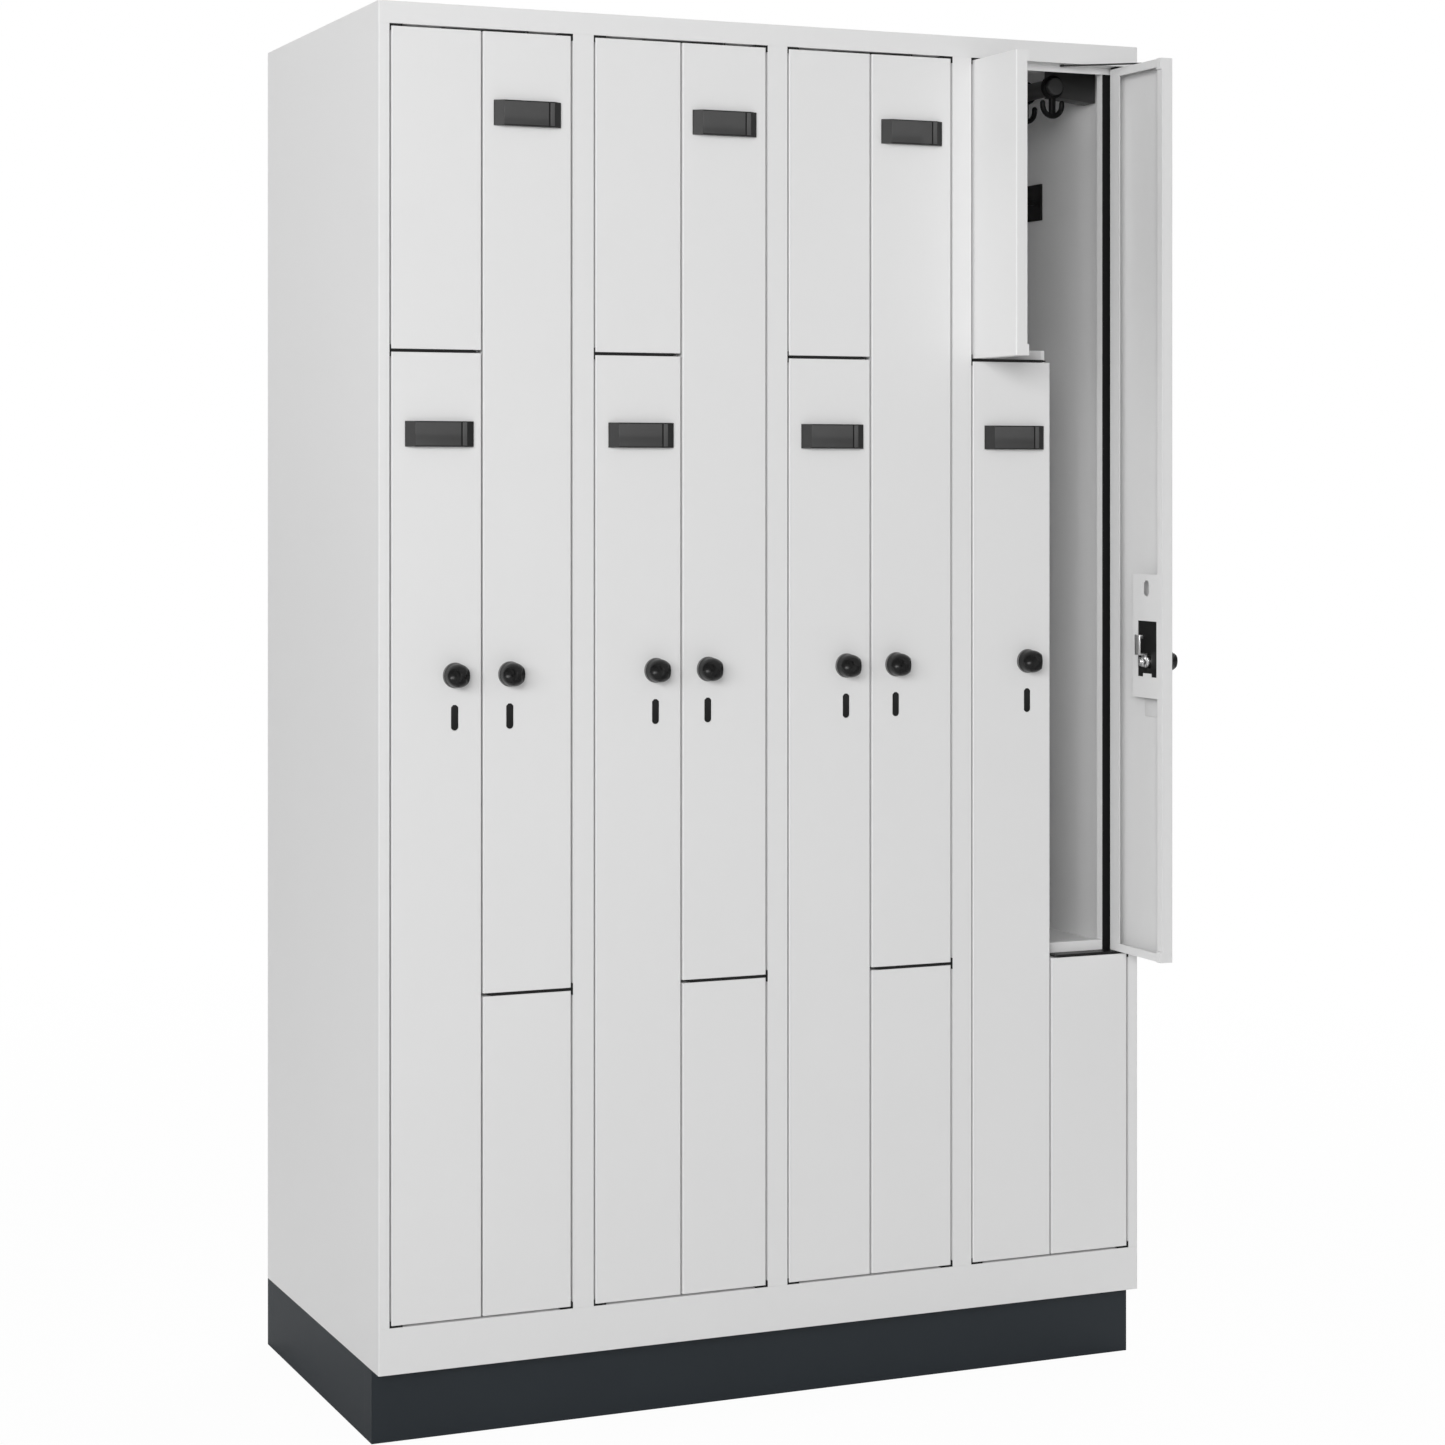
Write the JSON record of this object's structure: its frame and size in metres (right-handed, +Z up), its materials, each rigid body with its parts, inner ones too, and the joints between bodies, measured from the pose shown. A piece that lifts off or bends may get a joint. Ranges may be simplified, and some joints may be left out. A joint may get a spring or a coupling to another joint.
{
  "type": "z locker",
  "caption": "Free-standing sheet-steel clothes locker with interlocking Z-shaped compartments, two-leaf doors, knob locks, coat rails and a recessed dark plinth.",
  "frame": {"origin": "on the floor, under the middle of the body's width and depth, on the base of the plinth's middle cross member", "axes": "+Z up, +X to the right seen from the front, the doors face -Y"},
  "size_m": [1.216, 0.6145, 1.95],
  "materials": {
    "body_paint": "light grey powder coat, fine texture, satin",
    "plinth_paint": "anthracite powder coat, satin",
    "black_plastic": "moulded black plastic, satin",
    "label_plastic": "dark grey moulded plastic, satin",
    "seal_foam": "black sealing strip, matte",
    "black_wire": "blackened steel wire"
  },
  "bodies": {
    "root": {"plinth": "plinth_paint", "side_panels": "body_paint", "back_panel": "body_paint", "top_panel": "body_paint", "base_panel": "body_paint", "bay_partitions": "body_paint", "front_posts": "body_paint", "front_rails": "body_paint", "z_partitions": "body_paint", "hinge_bushes": "black_plastic", "seal_strips": "seal_foam", "coat_rails": "black_plastic", "wall_hooks": "black_plastic", "stored_hooks": "black_plastic"},
    "lower_tall_door_1": {"lower_tall_leaf_1": "body_paint", "lower_lock_1": "black_plastic", "lower_label_1": "label_plastic"},
    "lower_turning_knob_1": {"lower_knob_1": "black_plastic"},
    "upper_tall_door_1": {"upper_tall_leaf_1": "body_paint", "upper_lock_1": "black_plastic", "upper_label_1": "label_plastic"},
    "upper_turning_knob_1": {"upper_knob_1": "black_plastic"},
    "lower_short_door_1": {"lower_short_leaf_1": "body_paint"},
    "upper_short_door_1": {"upper_short_leaf_1": "body_paint"},
    "stay_1": {"door_stay_1": "black_wire"},
    "lower_tall_door_2": {"lower_tall_leaf_2": "body_paint", "lower_lock_2": "black_plastic", "lower_label_2": "label_plastic"},
    "lower_turning_knob_2": {"lower_knob_2": "black_plastic"},
    "upper_tall_door_2": {"upper_tall_leaf_2": "body_paint", "upper_lock_2": "black_plastic", "upper_label_2": "label_plastic"},
    "upper_turning_knob_2": {"upper_knob_2": "black_plastic"},
    "lower_short_door_2": {"lower_short_leaf_2": "body_paint"},
    "upper_short_door_2": {"upper_short_leaf_2": "body_paint"},
    "stay_2": {"door_stay_2": "black_wire"},
    "lower_tall_door_3": {"lower_tall_leaf_3": "body_paint", "lower_lock_3": "black_plastic", "lower_label_3": "label_plastic"},
    "lower_turning_knob_3": {"lower_knob_3": "black_plastic"},
    "upper_tall_door_3": {"upper_tall_leaf_3": "body_paint", "upper_lock_3": "black_plastic", "upper_label_3": "label_plastic"},
    "upper_turning_knob_3": {"upper_knob_3": "black_plastic"},
    "lower_short_door_3": {"lower_short_leaf_3": "body_paint"},
    "upper_short_door_3": {"upper_short_leaf_3": "body_paint"},
    "stay_3": {"door_stay_3": "black_wire"},
    "lower_tall_door_4": {"lower_tall_leaf_4": "body_paint", "lower_lock_4": "black_plastic", "lower_label_4": "label_plastic"},
    "lower_turning_knob_4": {"lower_knob_4": "black_plastic"},
    "upper_tall_door_4": {"upper_tall_leaf_4": "body_paint", "upper_lock_4": "black_plastic", "upper_label_4": "label_plastic"},
    "upper_turning_knob_4": {"upper_knob_4": "black_plastic"},
    "lower_short_door_4": {"lower_short_leaf_4": "body_paint"},
    "upper_short_door_4": {"upper_short_leaf_4": "body_paint"},
    "stay_4": {"door_stay_4": "black_wire"},
    "front_hook_slider": {"front_hook": "black_plastic"},
    "rear_hook_slider": {"rear_hook": "black_plastic"}
  },
  "joints": [
    {"name": "lower_tall_hinge_1", "type": "hinge", "parent": "root", "child": "lower_tall_door_1", "pos_m": [-0.5735, -0.2425, 1.0398], "axis": [0, 0, 1], "range_deg": [-95, 0]},
    {"name": "lower_knob_turn_1", "type": "hinge", "parent": "lower_tall_door_1", "child": "lower_turning_knob_1", "pos_m": [-0.4904, -0.2425, 1.0398], "axis": [0, 1, 0], "range_deg": [0, 90]},
    {"name": "upper_tall_hinge_1", "type": "hinge", "parent": "root", "child": "upper_tall_door_1", "pos_m": [-0.3265, -0.2425, 1.0398], "axis": [0, 0, 1], "range_deg": [0, 95]},
    {"name": "upper_knob_turn_1", "type": "hinge", "parent": "upper_tall_door_1", "child": "upper_turning_knob_1", "pos_m": [-0.4096, -0.2425, 1.0398], "axis": [0, -1, 0], "range_deg": [0, 90]},
    {"name": "lower_short_hinge_1", "type": "hinge", "parent": "root", "child": "lower_short_door_1", "pos_m": [-0.3265, -0.2425, 0.384], "axis": [0, 0, 1], "range_deg": [0, 95]},
    {"name": "upper_short_hinge_1", "type": "hinge", "parent": "root", "child": "upper_short_door_1", "pos_m": [-0.5735, -0.2425, 1.699], "axis": [0, 0, 1], "range_deg": [-95, 0]},
    {"name": "stay_turn_1", "type": "hinge", "parent": "upper_tall_door_1", "child": "stay_1", "pos_m": [-0.384, -0.247, 1.91825], "axis": [0, 0, 1], "range_deg": [-125.02, 0]},
    {"name": "lower_tall_hinge_2", "type": "hinge", "parent": "root", "child": "lower_tall_door_2", "pos_m": [-0.2735, -0.2425, 1.0398], "axis": [0, 0, 1], "range_deg": [-95, 0]},
    {"name": "lower_knob_turn_2", "type": "hinge", "parent": "lower_tall_door_2", "child": "lower_turning_knob_2", "pos_m": [-0.1904, -0.2425, 1.0398], "axis": [0, 1, 0], "range_deg": [0, 90]},
    {"name": "upper_tall_hinge_2", "type": "hinge", "parent": "root", "child": "upper_tall_door_2", "pos_m": [-0.0265, -0.2425, 1.0398], "axis": [0, 0, 1], "range_deg": [0, 95]},
    {"name": "upper_knob_turn_2", "type": "hinge", "parent": "upper_tall_door_2", "child": "upper_turning_knob_2", "pos_m": [-0.1096, -0.2425, 1.0398], "axis": [0, -1, 0], "range_deg": [0, 90]},
    {"name": "lower_short_hinge_2", "type": "hinge", "parent": "root", "child": "lower_short_door_2", "pos_m": [-0.0265, -0.2425, 0.384], "axis": [0, 0, 1], "range_deg": [0, 95]},
    {"name": "upper_short_hinge_2", "type": "hinge", "parent": "root", "child": "upper_short_door_2", "pos_m": [-0.2735, -0.2425, 1.699], "axis": [0, 0, 1], "range_deg": [-95, 0]},
    {"name": "stay_turn_2", "type": "hinge", "parent": "upper_tall_door_2", "child": "stay_2", "pos_m": [-0.084, -0.247, 1.91825], "axis": [0, 0, 1], "range_deg": [-125.02, 0]},
    {"name": "lower_tall_hinge_3", "type": "hinge", "parent": "root", "child": "lower_tall_door_3", "pos_m": [0.0265, -0.2425, 1.0398], "axis": [0, 0, 1], "range_deg": [-95, 0]},
    {"name": "lower_knob_turn_3", "type": "hinge", "parent": "lower_tall_door_3", "child": "lower_turning_knob_3", "pos_m": [0.1096, -0.2425, 1.0398], "axis": [0, 1, 0], "range_deg": [0, 90]},
    {"name": "upper_tall_hinge_3", "type": "hinge", "parent": "root", "child": "upper_tall_door_3", "pos_m": [0.2735, -0.2425, 1.0398], "axis": [0, 0, 1], "range_deg": [0, 95]},
    {"name": "upper_knob_turn_3", "type": "hinge", "parent": "upper_tall_door_3", "child": "upper_turning_knob_3", "pos_m": [0.1904, -0.2425, 1.0398], "axis": [0, -1, 0], "range_deg": [0, 90]},
    {"name": "lower_short_hinge_3", "type": "hinge", "parent": "root", "child": "lower_short_door_3", "pos_m": [0.2735, -0.2425, 0.384], "axis": [0, 0, 1], "range_deg": [0, 95]},
    {"name": "upper_short_hinge_3", "type": "hinge", "parent": "root", "child": "upper_short_door_3", "pos_m": [0.0265, -0.2425, 1.699], "axis": [0, 0, 1], "range_deg": [-95, 0]},
    {"name": "stay_turn_3", "type": "hinge", "parent": "upper_tall_door_3", "child": "stay_3", "pos_m": [0.216, -0.247, 1.91825], "axis": [0, 0, 1], "range_deg": [-125.02, 0]},
    {"name": "lower_tall_hinge_4", "type": "hinge", "parent": "root", "child": "lower_tall_door_4", "pos_m": [0.3265, -0.2425, 1.0398], "axis": [0, 0, 1], "range_deg": [-95, 0]},
    {"name": "lower_knob_turn_4", "type": "hinge", "parent": "lower_tall_door_4", "child": "lower_turning_knob_4", "pos_m": [0.4096, -0.2425, 1.0398], "axis": [0, 1, 0], "range_deg": [0, 90]},
    {"name": "upper_tall_hinge_4", "type": "hinge", "parent": "root", "child": "upper_tall_door_4", "pos_m": [0.5735, -0.2425, 1.0398], "axis": [0, 0, 1], "range_deg": [-90, 5]},
    {"name": "upper_knob_turn_4", "type": "hinge", "parent": "upper_tall_door_4", "child": "upper_turning_knob_4", "pos_m": [0.5735, -0.3256, 1.0398], "axis": [1, 0, 0], "range_deg": [0, 90]},
    {"name": "lower_short_hinge_4", "type": "hinge", "parent": "root", "child": "lower_short_door_4", "pos_m": [0.5735, -0.2425, 0.384], "axis": [0, 0, 1], "range_deg": [0, 95]},
    {"name": "upper_short_hinge_4", "type": "hinge", "parent": "root", "child": "upper_short_door_4", "pos_m": [0.3265, -0.2425, 1.699], "axis": [0, 0, 1], "range_deg": [-5, 90]},
    {"name": "stay_turn_4", "type": "hinge", "parent": "upper_tall_door_4", "child": "stay_4", "pos_m": [0.578, -0.3, 1.91825], "axis": [0, 0, 1], "range_deg": [-7.53, 118.5]},
    {"name": "front_hook_slide", "type": "slide", "parent": "root", "child": "front_hook_slider", "axis": [0, 1, 0], "range_m": [-0.003, 0.003]},
    {"name": "rear_hook_slide", "type": "slide", "parent": "root", "child": "rear_hook_slider", "axis": [0, 1, 0], "range_m": [-0.032, 0.3]}
  ],
  "couplings": [
    {"joint": "stay_turn_1", "follows": "upper_tall_hinge_1", "ratio": -1.3055},
    {"joint": "stay_turn_2", "follows": "upper_tall_hinge_2", "ratio": -1.3055},
    {"joint": "stay_turn_3", "follows": "upper_tall_hinge_3", "ratio": -1.3055},
    {"joint": "stay_turn_4", "follows": "upper_tall_hinge_4", "ratio": -1.3055}
  ]
}
